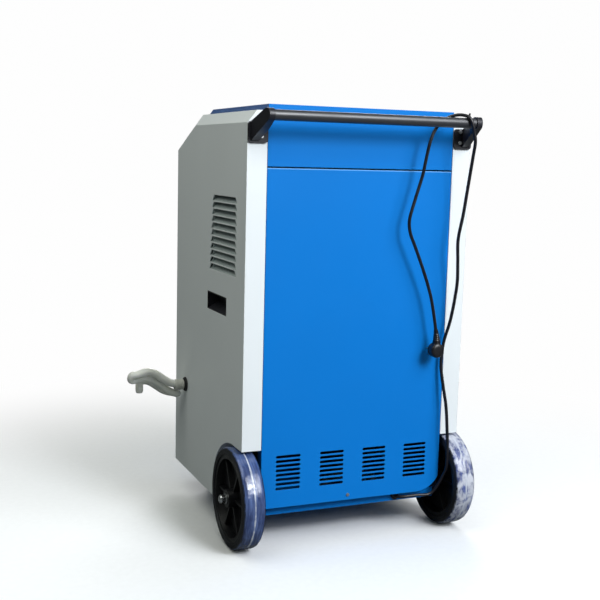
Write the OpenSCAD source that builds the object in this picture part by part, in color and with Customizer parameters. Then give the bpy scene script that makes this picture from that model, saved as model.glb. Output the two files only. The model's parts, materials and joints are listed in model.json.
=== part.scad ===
// Wheeled commercial dehumidifier, rebuilt as separate parts.
// Millimetres. +Z is up and the floor is z = 0. +Y is the rear, where the push
// handle is. +X is the machine's right-hand side, seen from its front: the side
// with the drain hose. The origin is on the floor under the middle of the body.

/* [Body] */
// Width over the two side covers
body_w = 600; // [580:5:640]
// Depth from the front face to the rear face
body_d = 568; // [560:4:600]
// Height of the blue top cover above the floor
body_h = 1084; // [1080:2:1120]
// Height of the top of the side covers above the floor
cover_top = 1069; // [1064:1:1074]
// Height of the underside of the body
base_z = 80; // [80:1:82]
// Width of the blue centre section
spine_w = 498; // [490:1:500]
// Angle of the sloping control deck
deck_angle = 21.7; // [18:0.1:24]

/* [Panels] */
// Wall thickness of the side covers
cover_t = 3; // [2:0.5:4]
// Sheet thickness of the steel panels
sheet_t = 1.5; // [1:0.1:2]
// Number of louvres in each side vent
vent_count = 11; // [7:1:11]
// Height from one louvre to the next
vent_pitch = 17.6; // [16:0.1:18]

/* [Rear wheels] */
// Outside diameter of the rear tyres
tyre_d = 254; // [244:2:254]
// Width of the rear tyres
tyre_w = 57; // [48:1:60]
// Diameter of the axle
axle_d = 16; // [14:0.5:18]

/* [Handle] */
// Diameter of the handle tube
handle_d = 25; // [22:0.5:28]
// Distance of the handle tube behind the body
handle_reach = 71; // [60:1:80]

/* [Drain] */
// Outside diameter of the drain hose
hose_d = 22; // [20:0.1:22]
// Bore of the drain hose
hose_bore = 16; // [15:0.5:17]

/* [Intake grille] */
// Width of the hinged intake grille
grille_w = 435; // [420:1:435]
// Number of grille slats
slat_count = 30; // [20:1:32]

/* [Hidden] */
$fn = 64;
eps = 0.01;

blue = [0.07, 0.43, 0.80];
cover_white = [0.86, 0.88, 0.87];
black = [0.09, 0.09, 0.10];
dark_navy = [0.08, 0.16, 0.32];
steel = [0.66, 0.67, 0.69];
copper = [0.72, 0.42, 0.24];
hose_grey = [0.78, 0.79, 0.76];

// Body outline
hw = body_w / 2;
hd = body_d / 2;
hs = spine_w / 2;
panel_hw = hs - 0.5;
deck_front_y = -hd;
deck_back_y = -130;
deck_run = deck_back_y - deck_front_y;
deck_front_z = body_h - deck_run * tan(deck_angle);
deck_mid = [0, (deck_back_y + deck_front_y) / 2, (body_h + deck_front_z) / 2];

// Side covers
crease_z = cover_top - 29;
chamfer_in = 23.3;
crease_y = -118;
cover_deck_y = -129;
arch_r = 153;
arch_y = 216;
arch_z = 103;
vent_top = 863.5;
cell_h = 14.6;
cell_splay = 13;
grip_y = 76.5;
grip_z = 590;
grip_l = 153;
grip_h = 47;

// Base and chassis
tray_hd = 257;
tray_h = 26;
tray_t = 2;
post_x = hs - 4;
post_y = 255;
post_w = 20;
frame_top = 1010;

// Panels
panel_bottom = base_z + tray_h + 0.5;
rear_top = 936.6;
seam_gap = 3.4;
cover_gap = 1;
cord_corner_r = 70;
panel_screw = [13, 120];
opening_hw = grille_w / 2 + 2.5;
opening_bottom = 342;
opening_top = 890;

// Rear wheels
wheel_y = 235;
wheel_z = tyre_d / 2;
wheel_in = 261;
wheel_out = wheel_in + tyre_w;
rim_r = 101;
wheel_mid = (wheel_in + wheel_out) / 2;
hub_in = wheel_mid - 31;
hub_out = wheel_mid + 31;
bead = tyre_w / 2 - 7.5;
axle_end = hub_out + 12.5;
shaft_gap = 0.05;

// Front castors
castor_x = 200;
castor_y = -222;
castor_r = 30;
castor_w = 22;
castor_trail = 20;
fork_top = base_z - 11;

// Handle
handle_y = hd + handle_reach;
handle_z = 1056;
arm_out = 277;

// Drain
drain_y = -187;
drain_z = 322.5;
tail_x = 424;
back_y = drain_y - 13;
tail_y = back_y - 24;
tail_z = 297;

// Grille
grille_y = -285;
grille_t = 16;
grille_axis_y = grille_y + grille_t / 2;
grille_axis_z = 352;
grille_top = 887;
hinge_pin_r = 3;

// Fan
fan_z = 766;
fan_r = 155;
bulk_y = -100;

// Compressor
comp_x = -60;
comp_y = 90;
comp_r = 64;
foot_r = 82;

// Puts a profile drawn in (Y, Z) across X, from x0 towards +X for length l.
module along_x(x0, l) {
    translate([x0, 0, 0])
        rotate([90, 0, 90])
            linear_extrude(l)
                children();
}

// Puts a profile drawn in (X, Z) along Y, from y0 towards +Y for length l.
module along_y(y0, l) {
    translate([0, y0 + l, 0])
        rotate([90, 0, 0])
            linear_extrude(l)
                children();
}

// A round bar along X, centred on (y, z), from x0 to x1.
module bar_x(x0, x1, y, z, r) {
    translate([x0, y, z])
        rotate([0, 90, 0])
            cylinder(r = r, h = x1 - x0);
}

// A round bar along Y, centred on (x, z), from y0 to y1.
module bar_y(y0, y1, x, z, r) {
    translate([x, y1, z])
        rotate([90, 0, 0])
            cylinder(r = r, h = y1 - y0);
}

// A box given by its lowest and highest corners.
module span(a, b) {
    translate(a)
        cube(b - a);
}

// A rectangle given by its lowest and highest corners.
module span2(a, b) {
    translate(a)
        square(b - a);
}

// A rectangle with round corners, centred.
module round_rect(w, h, r) {
    square([w - 2 * r, h], center = true);
    square([w, h - 2 * r], center = true);
    for (sx = [-1, 1], sy = [-1, 1])
        translate([sx * (w / 2 - r), sy * (h / 2 - r)])
            circle(r = r);
}

// Draws its children on both sides of the machine.
module both_sides() {
    for (m = [0, 1])
        mirror([m, 0, 0])
            children();
}

// The control deck's own frame: +Z points out of the deck and +Y up the slope.
module on_deck() {
    translate(deck_mid)
        rotate([deck_angle, 0, 0])
            children();
}

// A round bar from point a to point b.
module rod(a, b, r) {
    d = b - a;
    l = norm(d);
    translate(a)
        rotate([0, acos(d[2] / l), atan2(d[1], d[0])])
            cylinder(r = r, h = l, $fn = 24);
}

function unit(v) = v / norm(v);

// Angle by which a path turns at b, on its way from a to c.
function turn(a, b, c) = acos(max(-1, min(1, unit(b - a) * unit(c - b))));

// The bend radius at b: r_max, or what the two straights beside it leave room for.
function bend_radius(a, b, c, r_max) =
    min(r_max, 0.485 * min(norm(b - a), norm(c - b)) / tan(turn(a, b, c) / 2));

// How far before b the bend starts.
function bend_start(a, b, c, r_max) = bend_radius(a, b, c, r_max) * tan(turn(a, b, c) / 2);

// A round bend from the line a-b to the line b-c.
module bend(a, b, c, r, r_max) {
    u = unit(b - a);
    v = unit(c - b);
    inward = unit(v - (v * u) * u);
    radius = bend_radius(a, b, c, r_max);
    centre = b - u * bend_start(a, b, c, r_max) + inward * radius;
    w = cross(-inward, u);
    multmatrix([[-inward[0], u[0], w[0], centre[0]],
                [-inward[1], u[1], w[1], centre[1]],
                [-inward[2], u[2], w[2], centre[2]],
                [0, 0, 0, 1]])
        rotate_extrude(angle = turn(a, b, c))
            translate([radius, 0])
                circle(r = r * 1.01, $fn = 24);
}

// A bent tube or cable through a list of points, with bends of up to r_max.
// Each straight reaches a little way into the bends, which are a hair thicker.
module run(points, r, r_max) {
    n = len(points) - 1;
    lap = 0.3;
    for (i = [0 : n - 1]) {
        p = points[i];
        q = points[i + 1];
        cut_p = i == 0 ? 0 : bend_start(points[i - 1], p, q, r_max) - lap;
        cut_q = i == n - 1 ? 0 : bend_start(p, q, points[i + 2], r_max) - lap;
        rod(p + unit(q - p) * cut_p, q - unit(q - p) * cut_q, r);
    }
    for (i = [1 : n - 1])
        bend(points[i - 1], points[i], points[i + 1], r, r_max);
}

// A sheet-metal angle standing in a corner, legs of width w along X and Y.
module angle_post(x, y, z0, z1, w) {
    sx = sign(x);
    sy = sign(y);
    translate([x, y, z0])
        mirror([sx > 0 ? 1 : 0, 0, 0])
            mirror([0, sy > 0 ? 1 : 0, 0]) {
                cube([w, 2, z1 - z0]);
                cube([2, w, z1 - z0]);
            }
}

// ---- Base and chassis ----

module base_tray() {
    color(blue)
        difference() {
            span([-hs, -tray_hd, base_z], [hs, tray_hd, base_z + tray_h]);
            span([-hs + tray_t, -tray_hd + tray_t, base_z + cover_t],
                 [hs - tray_t, tray_hd - tray_t, base_z + tray_h + 1]);
            bar_y(tray_hd - 5, tray_hd + 5, -135, base_z + 14, 8);
            for (sx = [-1, 1], bx = [-22, 22], by = [-22, 22])
                translate([sx * castor_x + bx, castor_y + by, base_z - 1])
                    cylinder(r = 3.2, h = 6, $fn = 24);
        }
}

module chassis_frame() {
    color(dark_navy) {
        both_sides() {
            angle_post(post_x, -post_y, base_z + cover_t, frame_top, post_w);
            angle_post(post_x, post_y, 148, frame_top, post_w);
            // Rails that carry the drip tray, the partition and the roof
            span([224, -post_y + 2, 336], [post_x, bulk_y, 338]);
            span([224, bulk_y + 2, 466], [post_x, post_y - 2, 468]);
            span([224, bulk_y + 2, 933], [post_x, post_y - 2, 935]);
            span([post_x - 2, -post_y, frame_top - 20], [post_x, post_y, frame_top]);
        }
        for (y = [-post_y, post_y - 2])
            span([-post_x, y, frame_top - 20], [post_x, y + 2, frame_top]);
    }
}

module wheel_well() {
    color(dark_navy)
        difference() {
            along_x(post_x, 2)
                polygon([[60, base_z + 4], [post_y, base_z + 4], [post_y, 108.5],
                         [281, 108.5], [281, 266], [60, 266]]);
            bar_x(post_x - 1, post_x + 3, wheel_y, wheel_z, axle_d / 2 + 1);
        }
}

module wheel_well_right() { wheel_well(); }
module wheel_well_left() { mirror([1, 0, 0]) wheel_well(); }

// ---- Side covers ----

// The rear wheel arch in (Y, Z), grown by g.
module arch_profile(g) {
    translate([arch_y, arch_z])
        circle(r = arch_r + g, $fn = 96);
    span2([arch_y, 0], [hd + 10, arch_z + arch_r + g]);
}

// Side cover outline in (Y, Z), shrunk by s.
module cover_profile(s) {
    drop = deck_run * tan(deck_angle);
    polygon([[-hd + s, base_z + s], [-hd + s, cover_top - drop - s],
             [cover_deck_y + s / 4, cover_top - s], [hd - s, cover_top - s], [hd - s, base_z + s]]);
}

// Slices that cut the bevel along the top edge, moved inwards by s.
module bevel_cuts(s) {
    module slice(rise) {
        along_y(-420, 840)
            polygon([[hw + 0.8 * s, -1.2 * s], [hw - chamfer_in - s, rise - 0.3 * s],
                     [hw - chamfer_in - s, rise + 60], [hw + 60, rise + 60], [hw + 60, -1.2 * s]]);
    }
    translate([0, 0, crease_z])
        slice(cover_top - crease_z);
    translate([0, crease_y, crease_z])
        rotate([deck_angle, 0, 0])
            slice(31);
}

// The left and right ends of louvre i, along Y.
function vent_y0(i) = 31 - 18 * i / (vent_count - 1);
function vent_y1(i) = 222 + i / (vent_count - 1);

// Louvre opening i in (Y, Z): its ends splay outwards towards the bottom.
module vent_cell(i) {
    z = vent_top - i * vent_pitch;
    polygon([[vent_y0(i), z - cell_h], [vent_y1(i), z - cell_h],
             [vent_y1(i) - cell_splay, z], [vent_y0(i) + cell_splay, z]]);
}

module side_cover() {
    color(cover_white) {
        difference() {
            along_x(hs + cover_gap, hw - hs - cover_gap)
                cover_profile(0);
            bevel_cuts(0);
            difference() {
                along_x(hs - 1, hw - hs - cover_t + 1)
                    cover_profile(cover_t);
                translate([-cover_t * 0.8, 0, -cover_t * 0.6])
                    bevel_cuts(0);
                along_x(hs - 2, 80)
                    arch_profile(cover_t);
            }
            along_x(hs - 5, 80)
                arch_profile(0);
            for (i = [0 : vent_count - 1])
                along_x(hw - cover_t - 1, cover_t + 2)
                    vent_cell(i);
            span([hw - cover_t - 1, grip_y - grip_l / 2, grip_z - grip_h / 2],
                 [hw + 1, grip_y + grip_l / 2, grip_z + grip_h / 2]);
            children();
        }
        // Sloping blades behind the louvre openings
        for (i = [0 : vent_count - 1]) {
            z = vent_top - i * vent_pitch - cell_h;
            along_vent = vent_y1(i) - vent_y0(i) + 4;
            translate([0, vent_y0(i) - 2, 0])
                along_y(0, along_vent)
                    polygon([[hw - cover_t, z - 2], [hw - cover_t, z + 0.4],
                             [hw - 17, z + 14.5], [hw - 18.2, z + 13.6]]);
        }
        // Ribs that join the blades
        for (y = [34, 214])
            span([hw - 18, y - 1, vent_top - (vent_count - 1) * vent_pitch - cell_h - 4],
                 [hw - cover_t, y + 1, vent_top + 2]);
    }
}

module side_cover_right() {
    side_cover()
        bar_x(hw - cover_t - 1, hw + 1, drain_y, drain_z, 15.2);
}

module side_cover_left() {
    mirror([1, 0, 0])
        side_cover();
}

module grip_cup() {
    gap = 0.3;
    color(black)
        difference() {
            span([hw - 34, grip_y - grip_l / 2 + gap, grip_z - grip_h / 2 + gap],
                 [hw - 0.6, grip_y + grip_l / 2 - gap, grip_z + grip_h / 2 - gap]);
            along_y(grip_y - grip_l / 2 + 3, grip_l - 6)
                polygon([[hw + 1, grip_z - grip_h / 2 + 3], [hw - 4, grip_z - grip_h / 2 + 3],
                         [hw - 31, grip_z - 4], [hw - 31, grip_z + grip_h / 2 - 3],
                         [hw + 1, grip_z + grip_h / 2 - 3]]);
        }
}

module grip_cup_right() { grip_cup(); }
module grip_cup_left() { mirror([1, 0, 0]) grip_cup(); }

// ---- Blue centre section ----

module top_cover() {
    t = sheet_t;
    lip_z = deck_front_z - 11;
    color(blue) {
        difference() {
            along_x(-panel_hw, 2 * panel_hw)
                polygon([[hd, rear_top + seam_gap], [hd, body_h], [deck_back_y, body_h],
                         [-hd, deck_front_z], [-hd, lip_z], [-hd + t, lip_z],
                         [-hd + t, deck_front_z - t], [deck_back_y + 0.3, body_h - t],
                         [hd - t, body_h - t], [hd - t, rear_top + seam_gap]]);
            on_deck()
                translate([0, 0, -5])
                    linear_extrude(10)
                        round_rect(280, 90, 6);
        }
        both_sides()
            along_x(panel_hw - t, t)
                polygon([[hd, 1055], [hd, body_h], [deck_back_y, body_h], [-hd, deck_front_z],
                         [-hd, lip_z], [-hd + 12, lip_z], [deck_back_y, 1048]]);
    }
}

module front_panel() {
    t = sheet_t;
    top = deck_front_z - 11.5;
    color(blue)
        difference() {
            span([-panel_hw, -hd, panel_bottom], [panel_hw, -tray_hd, top]);
            span([-panel_hw + t, -hd + t, panel_bottom + t], [panel_hw - t, -tray_hd + 1, top + 1]);
            span([-opening_hw, -hd - 1, opening_bottom], [opening_hw, -hd + 5, opening_top]);
        }
}

// Rear panel outline in (X, Z), shrunk by s, with its round cord corner.
module rear_outline(s) {
    w = panel_hw - s;
    z0 = panel_bottom + s;
    r = cord_corner_r - s;
    c = [-panel_hw + 62, panel_bottom + cord_corner_r];
    difference() {
        span2([-w, z0], [w, rear_top - s]);
        difference() {
            span2([-w - 1, z0 - 1], [c[0], c[1]]);
            translate(c)
                circle(r = r, $fn = 96);
        }
    }
}

module rear_panel() {
    color(blue)
        difference() {
            along_y(tray_hd, hd - tray_hd)
                rear_outline(0);
            along_y(tray_hd - 1, hd - tray_hd - sheet_t + 1)
                rear_outline(sheet_t);
            for (g = [-1.5 : 1 : 1.5], i = [0 : 7])
                along_y(hd - 5, 10)
                    translate([1 + g * 117.8, 154.5 + i * 11.5])
                        round_rect(65, 7, 3.4);
            bar_y(hd - 5, hd + 1, panel_screw[0], panel_screw[1], 2.3);
            // Rolled upper edge
            along_x(-hw, 2 * hw)
                polygon([[hd - 1.2, rear_top + 1], [hd + 1, rear_top + 1], [hd + 1, rear_top - 1.8],
                         [hd, rear_top - 1.8], [hd - 1.2, rear_top]]);
            // Relief that lets the power cord past the lower edge
            span([-panel_hw - 1, tray_hd - 1, panel_bottom - 1], [-120, hd - sheet_t, 150]);
        }
}

module rear_panel_screw() {
    color(steel) {
        bar_y(hd - sheet_t - 6, hd + eps, panel_screw[0], panel_screw[1], 2);
        bar_y(hd, hd + 2, panel_screw[0], panel_screw[1], 4.2);
    }
}

// ---- Control deck ----

button_x = [-112, -72, -32, 8, 48];
button_y = -22;
button_w = 28;
button_h = 16;

module control_fascia() {
    color(black)
        on_deck() {
            difference() {
                translate([0, 0, 0.05])
                    linear_extrude(2.95)
                        round_rect(300, 108, 8);
                translate([-32, 24, -1])
                    linear_extrude(5)
                        round_rect(90.4, 36.4, 3.2);
                for (x = button_x)
                    translate([x, button_y, -1])
                        linear_extrude(5)
                            round_rect(button_w + 1, button_h + 1, 3.5);
            }
            // Pillars that carry the control board
            for (x = [-132, 132], y = [-38, 38])
                translate([x, y, -12.4])
                    cylinder(r = 3, h = 12.5, $fn = 24);
        }
}

module display_window() {
    color([0.05, 0.07, 0.08])
        on_deck()
            translate([-32, 24, 0.4])
                linear_extrude(2.8)
                    round_rect(90, 36, 3);
}

module control_board() {
    color([0.05, 0.32, 0.18])
        on_deck()
            translate([0, 0, -14]) {
                linear_extrude(1.6)
                    square([276, 86], center = true);
                // Switches under the buttons, and the display module
                for (x = button_x)
                    translate([x - 3, button_y - 3, 1.6 - eps])
                        cube([6, 6, 3.4]);
                translate([-32 - 40, 24 - 14, 1.6 - eps])
                    cube([80, 28, 8]);
            }
}

module panel_button(i) {
    color([0.80, 0.82, 0.83])
        on_deck()
            translate([button_x[i], button_y, 0]) {
                translate([0, 0, -1])
                    linear_extrude(5.4)
                        round_rect(button_w, button_h, 3);
                translate([0, 0, -6.5])
                    linear_extrude(5.5 + eps)
                        round_rect(button_w + 4, button_h + 4, 3);
            }
}

module power_button() { panel_button(0); }
module mode_button() { panel_button(1); }
module up_button() { panel_button(2); }
module down_button() { panel_button(3); }
module timer_button() { panel_button(4); }

// ---- Intake grille ----

module intake_grille() {
    frame = 18;
    z0 = grille_axis_z + 12;
    pitch = (grille_top - frame - z0) / slat_count;
    color(black)
        difference() {
            union() {
                difference() {
                    span([-grille_w / 2, grille_y, grille_axis_z],
                         [grille_w / 2, grille_y + grille_t, grille_top]);
                    span([-grille_w / 2 + frame, grille_y - 1, z0],
                         [grille_w / 2 - frame, grille_y + grille_t + 1, grille_top - frame]);
                }
                bar_x(-grille_w / 2, grille_w / 2, grille_axis_y, grille_axis_z, grille_t / 2);
                for (i = [0 : slat_count - 1])
                    along_x(-grille_w / 2 + frame - 1, grille_w - 2 * frame + 2)
                        translate([0, z0 + i * pitch])
                            polygon([[grille_y + 1, 1], [grille_y + 1, 3], [grille_y + 13, 11],
                                     [grille_y + 13, 9]]);
                for (x = [-100, 0, 100])
                    span([x - 2, grille_y + 3, z0 - 1], [x + 2, grille_y + grille_t, grille_top - frame + 1]);
            }
            both_sides()
                bar_x(grille_w / 2 - 9, grille_w / 2 + 1, grille_axis_y, grille_axis_z,
                      hinge_pin_r + shaft_gap);
        }
}

module air_filter() {
    y0 = grille_y + grille_t;
    color([0.30, 0.31, 0.33])
        difference() {
            span([-200, y0, 366], [200, y0 + 8, 868]);
            for (i = [-1, 1], k = [0 : 3])
                span([i * 97 - 91, y0 - 1, 374 + k * 123], [i * 97 + 91, y0 + 3, 374 + k * 123 + 115]);
            for (i = [-1, 1], k = [0 : 3])
                span([i * 97 - 91, y0 + 4, 374 + k * 123], [i * 97 + 91, y0 + 9, 374 + k * 123 + 115]);
        }
}

module grille_hinges() {
    x0 = grille_w / 2 + 1.5;
    color(steel)
        both_sides() {
            span([x0, -hd + sheet_t, 336], [x0 + 3, -262, 366]);
            span([x0, -hd + sheet_t, 336], [x0 + 17, -hd + sheet_t + 2, 341]);
            bar_x(grille_w / 2 - 8, x0 + 3, grille_axis_y, grille_axis_z, hinge_pin_r);
        }
}

module grille_catches() {
    y0 = grille_y + grille_t + 0.5;
    color(steel)
        for (x = [-120, 120]) {
            span([x - 15, -hd + sheet_t, 892], [x + 15, y0 + 10, 900]);
            span([x - 15, y0, 875], [x + 15, y0 + 10, 892 + eps]);
        }
}

// ---- Handle ----

module handle_tube() {
    color(black)
        difference() {
            bar_x(-arm_out + 2, arm_out - 2, handle_y, handle_z, handle_d / 2);
            bar_x(-arm_out, arm_out, handle_y, handle_z, handle_d / 2 - 2);
        }
}

// Outline of the arm in (Y, Z): straight flanks that meet the round boss.
module arm_profile(boss) {
    translate([handle_y, handle_z])
        circle(r = boss);
    polygon([[hd, 995], [hd, 1041], [handle_y - boss * 0.38, handle_z + boss * 0.925],
             [handle_y + boss * 0.64, handle_z - boss * 0.77]]);
}

module handle_bracket() {
    boss = 15.5;
    color(black)
        difference() {
            union() {
                // Plate on the rear flange of the side cover
                translate([(hs + 1 + hw) / 2, 0, 1018])
                    along_y(hd, 4)
                        round_rect(hw - hs - 1, 50, 8);
                // Arm, narrowing towards the tube
                intersection() {
                    along_x(hs, hw - hs)
                        arm_profile(boss);
                    linear_extrude(1200)
                        polygon([[274, hd], [hw - 7, hd], [hw - 7, hd + 6], [arm_out + 1, handle_y + 20],
                                 [arm_out - 12, handle_y + 20], [arm_out - 12, handle_y - 20]]);
                }
            }
            bar_x(200, arm_out - 2, handle_y, handle_z, handle_d / 2);
            for (z = [1009, 1036])
                bar_y(hd - 1, hd + 6, 267, z, 2.6);
        }
}

module handle_bracket_right() { handle_bracket(); }
module handle_bracket_left() { mirror([1, 0, 0]) handle_bracket(); }

module bracket_screws() {
    color(steel)
        both_sides()
            for (z = [1009, 1036]) {
                bar_y(hd + 0.2, hd + 4 + eps, 267, z, 2.5);
                difference() {
                    bar_y(hd + 4, hd + 6.4, 267, z, 4.6);
                    bar_y(hd + 5.4, hd + 7, 267, z, 1.6);
                }
            }
}

// ---- Drain and coils ----

module drip_tray() {
    color([0.75, 0.77, 0.79])
        difference() {
            union() {
                span([-222, -248, 302], [222, -104, 340]);
                span([-240, -248, 338], [240, -104, 340]);
                bar_x(221, 246, drain_y, drain_z, hose_bore / 2);
            }
            span([-220, -246, 304], [220, -106, 341]);
            bar_x(215, 247, drain_y, drain_z, hose_bore / 2 - 2);
        }
}

module drain_grommet() {
    hose_r = hose_d / 2 + 0.3;
    color(black)
        translate([hw, drain_y, drain_z])
            rotate([0, 90, 0])
                rotate_extrude()
                    polygon([[hose_r, -8], [18, -8], [18, -cover_t - 0.2], [15, -cover_t - 0.2],
                             [15, 0.2], [20, 0.2], [20, 3], [17, 6], [hose_r, 6]]);
}

// The hose leaves the body, doubles back twice and hangs its free end down.
hose_path = [[233, drain_y, drain_z], [342, drain_y, drain_z], [392, drain_y, 361],
             [455, drain_y, 357], [455, back_y, 335], [400, back_y, 339], [372, back_y, 322],
             [346, back_y, 299], [322, back_y, 293], [322, tail_y, 293], [352, tail_y, 297],
             [400, tail_y, 331], [tail_x, tail_y, 331], [tail_x, tail_y, tail_z]];
collar_r = 15.5;

module drain_hose() {
    color(hose_grey)
        difference() {
            union() {
                run(hose_path, hose_d / 2, 30);
                // Ribbed collar where the hose meets the body
                bar_x(hw + 7, 334, drain_y, drain_z, collar_r);
            }
            bar_x(232, 252, drain_y, drain_z, hose_bore / 2 + shaft_gap);
            translate([tail_x, tail_y, tail_z - 1])
                cylinder(r = hose_bore / 2, h = 26);
        }
}

// A finned coil: fins, end plates and return bends.
module coil(y0, depth, rows, bend_n) {
    half = 190;
    fin_pitch = 9.5;
    fin_n = 41;
    z0 = 346;
    z1 = 888;
    ym = y0 + depth / 2;
    step = (z1 - z0 - 20) / bend_n;
    color([0.80, 0.82, 0.84]) {
        linear_height = z1 - z0;
        translate([0, 0, z0])
            linear_extrude(linear_height) {
                for (i = [0 : fin_n - 1])
                    span2([-half + i * fin_pitch - 0.5, y0], [-half + i * fin_pitch + 0.5, y0 + depth]);
                span2([-half, ym - 1], [half, ym + 1]);
            }
        for (sx = [-1, 1])
            span([sx * (half + 1) - 1, y0 - 2, 304], [sx * (half + 1) + 1, y0 + depth + 2, 890]);
    }
    color(copper)
        for (sx = [-1, 1], row = [0 : rows - 1], i = [0 : bend_n - 1])
            translate([sx * (half + 1.9), y0 + depth * (row + 0.5) / rows, z0 + 10 + (i + 0.5) * step])
                rotate([0, 0, sx > 0 ? 0 : 180])
                    rotate([90, 0, 0])
                        rotate([0, 0, -90])
                            rotate_extrude(angle = 180)
                                translate([step / 4, 0])
                                    circle(r = 4.5, $fn = 24);
}

module evaporator() { coil(-236, 44, 2, 9); }
module condenser() { coil(-176, 56, 2, 9); }

// ---- Fan ----

module fan_bulkhead() {
    color([0.70, 0.72, 0.74])
        difference() {
            span([-243, bulk_y, 340], [243, bulk_y + 2, 933]);
            bar_y(bulk_y - 1, bulk_y + 3, 0, fan_z, 116);
            bar_y(bulk_y - 1, bulk_y + 3, 222, 430, 9);
            bar_y(bulk_y - 1, bulk_y + 3, -222, 400, 9);
        }
}

module fan_inlet_ring() {
    color([0.62, 0.64, 0.66])
        translate([0, bulk_y + 2, fan_z])
            rotate([-90, 0, 0])
                rotate_extrude($fn = 96)
                    polygon([[112, 0], [135, 0], [135, 2], [118, 2], [114, 8], [114, 34], [112, 34]]);
}

module fan_impeller() {
    blade_n = 9;
    color([0.20, 0.21, 0.23])
        translate([0, 0, fan_z]) {
            difference() {
                union() {
                    bar_y(8, 11, 0, 0, fan_r);
                    bar_y(-40, 10, 0, 0, 26);
                }
                bar_y(-41, 12, 0, 0, 6);
            }
            difference() {
                bar_y(-60, -58, 0, 0, fan_r);
                bar_y(-61, -57, 0, 0, 118);
            }
            for (i = [0 : blade_n - 1])
                rotate([0, i * 360 / blade_n, 0])
                    translate([112, -58 - eps, 0])
                        rotate([0, 38, 0])
                            translate([-40, 0, -1.5])
                                cube([80, 66 + 2 * eps, 3]);
            // Motor shaft, pressed into the hub
            bar_y(-44, 34, 0, 0, 6);
        }
}

module fan_motor() {
    color([0.35, 0.36, 0.38])
        difference() {
            union() {
                bar_y(20, 96, 0, fan_z, 56);
                bar_y(96, 100, 0, fan_z, 62);
                bar_y(14, 20, 0, fan_z, 20);
            }
            bar_y(13, 36, 0, fan_z, 6 + shaft_gap);
        }
}

module motor_mount() {
    color([0.70, 0.72, 0.74]) {
        span([-70, 100, 470], [70, 103, 836]);
        span([-70, 100, 470], [70, 150, 473]);
        for (x = [-70, 67])
            span([x, 103 - eps, 470], [x + 3, 135, 700]);
    }
}

module partition_floor() {
    color([0.70, 0.72, 0.74])
        difference() {
            span([-243, bulk_y + 2, 468], [243, post_y - 2, 470]);
            translate([-30, 200, 460])
                cylinder(r = 12, h = 20);
        }
}

module partition_roof() {
    color([0.70, 0.72, 0.74]) {
        span([-243, bulk_y, 935], [243, post_y - 2, 937]);
        span([-243, -252, 890], [243, bulk_y, 892]);
    }
}

// ---- Electrics ----

module control_box() {
    color([0.72, 0.74, 0.76])
        difference() {
            span([-180, -70, 937], [60, 100, 1000]);
            span([-178, -68, 939], [58, 98, 998]);
            bar_y(-75, -60, -32, 985, 8);
        }
}

module run_capacitor() {
    color([0.80, 0.81, 0.83])
        bar_x(-160, -60, 60, 958, 19);
    color(black)
        span([-30, -50, 939], [40, 70, 975]);
}

// ---- Refrigeration ----

module compressor() {
    color(black) {
        difference() {
            union() {
                translate([comp_x, comp_y, 108]) {
                    rotate_extrude()
                        polygon([[0, 0], [52, 0], [60, 6], [comp_r, 16], [comp_r, 220], [60, 236],
                                 [46, 247], [24, 252], [0, 252]]);
                    // Terminal cover
                    translate([6, -26, 250])
                        cube([40, 34, 14]);
                    translate([12, -20, 232])
                        cube([26, 20, 22]);
                }
                translate([comp_x, comp_y, 104])
                    linear_extrude(4 + eps)
                        for (a = [30, 150, 270])
                            rotate(a) {
                                translate([foot_r, 0])
                                    circle(r = 14, $fn = 48);
                                translate([0, -14])
                                    square([foot_r, 28]);
                            }
            }
            for (a = [30, 150, 270])
                translate([comp_x + foot_r * cos(a), comp_y + foot_r * sin(a), 100])
                    cylinder(r = 4.6, h = 12, $fn = 24);
        }
        // Suction accumulator strapped beside the shell
        translate([comp_x - 96, comp_y - 28, 0]) {
            translate([0, 0, 138])
                rotate_extrude()
                    polygon([[0, 0], [14, 3], [27, 14], [27, 176], [14, 190], [0, 194]]);
            rod([0, 0, 140], [0, 0, 122], 6);
            sphere_at([0, 0, 122], 6);
            rod([0, 0, 122], [40, 12, 122], 6);
        }
    }
}

module sphere_at(p, r) {
    translate(p)
        sphere(r = r, $fn = 24);
}

module compressor_mounts() {
    for (a = [30, 150, 270])
        translate([comp_x + foot_r * cos(a), comp_y + foot_r * sin(a), 0]) {
            color(steel) {
                translate([0, 0, base_z + cover_t])
                    cylinder(r = 4, h = 36, $fn = 24);
                translate([0, 0, 108.4])
                    cylinder(r = 8, h = 6, $fn = 6);
            }
            color(black)
                difference() {
                    translate([0, 0, base_z + cover_t])
                        cylinder(r = 13, h = 20.8);
                    translate([0, 0, base_z + cover_t - 1])
                        cylinder(r = 4.4, h = 24, $fn = 24);
                }
        }
}

module suction_pipe() {
    ax = comp_x - 96;
    ay = comp_y - 28;
    color(copper)
        run([[-208, -214, 830], [-222, -214, 830], [-222, -214, 400], [-222, -40, 400],
             [ax, ay, 400], [ax, ay, 332.2]], 6, 18);
}

module discharge_pipe() {
    color(copper) {
        run([[208, -148, 430], [222, -148, 430], [222, -60, 430], [60, 40, 430],
             [comp_x, comp_y, 430], [comp_x, comp_y, 360]], 5, 16);
    }
}

module filter_drier() {
    color(copper) {
        translate([215, -20, 250])
            rotate_extrude()
                polygon([[0, 0], [4, 4], [15, 18], [15, 92], [4, 106], [0, 110]]);
        run([[215, -20, 356], [215, -20, 385], [160, -20, 385]], 4, 12);
        // Capillary coil below the drier
        for (i = [0 : 4])
            translate([160, -20, 385 - 24 + i * 6])
                rotate_extrude()
                    translate([26, 0])
                        circle(r = 2, $fn = 16);
        translate([160 - 28, -22, 359])
            cube([4, 4, 28]);
        rod([160, -20, 385], [134, -20, 385], 2.4);
    }
}

// ---- Rear wheels ----

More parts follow.
